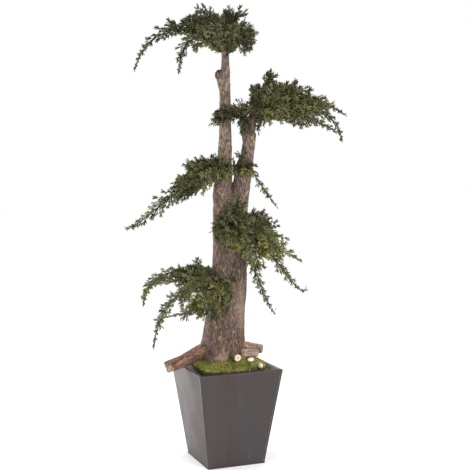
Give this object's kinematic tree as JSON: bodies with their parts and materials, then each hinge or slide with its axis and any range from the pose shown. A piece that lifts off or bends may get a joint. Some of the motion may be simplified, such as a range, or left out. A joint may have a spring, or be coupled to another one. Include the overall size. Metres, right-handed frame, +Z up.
{
  "type": "preserved juniper tree",
  "caption": "Preserved juniper tree with weeping pads of foliage on a forked trunk, set with moss and pebbles in a tapered square sheet metal planter.",
  "frame": {"origin": "centre of the planter's flat underside, on the surface that it stands on", "axes": "+Z up along the tree; X and Y square to the planter's sides; the picture looks from -Y, a little from -X"},
  "size_m": [0.9904, 0.5539, 2.13],
  "materials": {
    "planter": "dark patinated sheet metal, satin",
    "fill": "loose dry fill",
    "moss": "dried moss",
    "pebble": "smooth white pebble",
    "bark": "fibrous dry bark",
    "foliage": "preserved scale leaves, matt"
  },
  "bodies": {
    "root": {"fill": "fill", "front_stub": "bark", "left_bough": "bark", "left_root": "bark", "left_stem": "bark", "low_left_pad_fall": "foliage", "low_left_pad_filler_1": "foliage", "low_left_pad_filler_2": "foliage", "low_left_pad_front_fall": "foliage", "low_left_pad_left_reach": "foliage", "low_left_pad_long_tail": "foliage", "low_left_pad_low_twig": "foliage", "low_left_pad_right_tuft": "foliage", "low_left_pad_up_tuft": "foliage", "low_right_pad_fall": "foliage", "low_right_pad_filler_1": "foliage", "low_right_pad_filler_2": "foliage", "low_right_pad_hook_tail": "foliage", "low_right_pad_left_reach": "foliage", "low_right_pad_long_tail": "foliage", "low_right_pad_right_reach": "foliage", "low_right_pad_top_tuft": "foliage", "middle_pad_filler_1": "foliage", "middle_pad_filler_2": "foliage", "middle_pad_filler_3": "foliage", "middle_pad_left_tuft": "foliage", "middle_pad_long_tail": "foliage", "middle_pad_right_tail": "foliage", "middle_pad_under_tail": "foliage", "middle_pad_up_tuft": "foliage", "moss": "moss", "pebble_1": "pebble", "pebble_2": "pebble", "planter": "planter", "right_bough": "bark", "right_pad_back_tail": "foliage", "right_pad_crest": "foliage", "right_pad_filler_1": "foliage", "right_pad_filler_2": "foliage", "right_pad_filler_3": "foliage", "right_pad_front_tail": "foliage", "right_pad_inner_tuft": "foliage", "right_pad_long_tail": "foliage", "right_pad_spike": "foliage", "right_pad_wing": "foliage", "right_root": "bark", "right_stem": "bark", "short_log": "bark", "top_pad_crest": "foliage", "top_pad_filler_1": "foliage", "top_pad_filler_2": "foliage", "top_pad_filler_3": "foliage", "top_pad_fringe": "foliage", "top_pad_long_tail": "foliage", "top_pad_right_reach": "foliage", "top_pad_short_tail": "foliage", "top_pad_spike": "foliage", "trunk": "bark"}
  },
  "joints": []
}
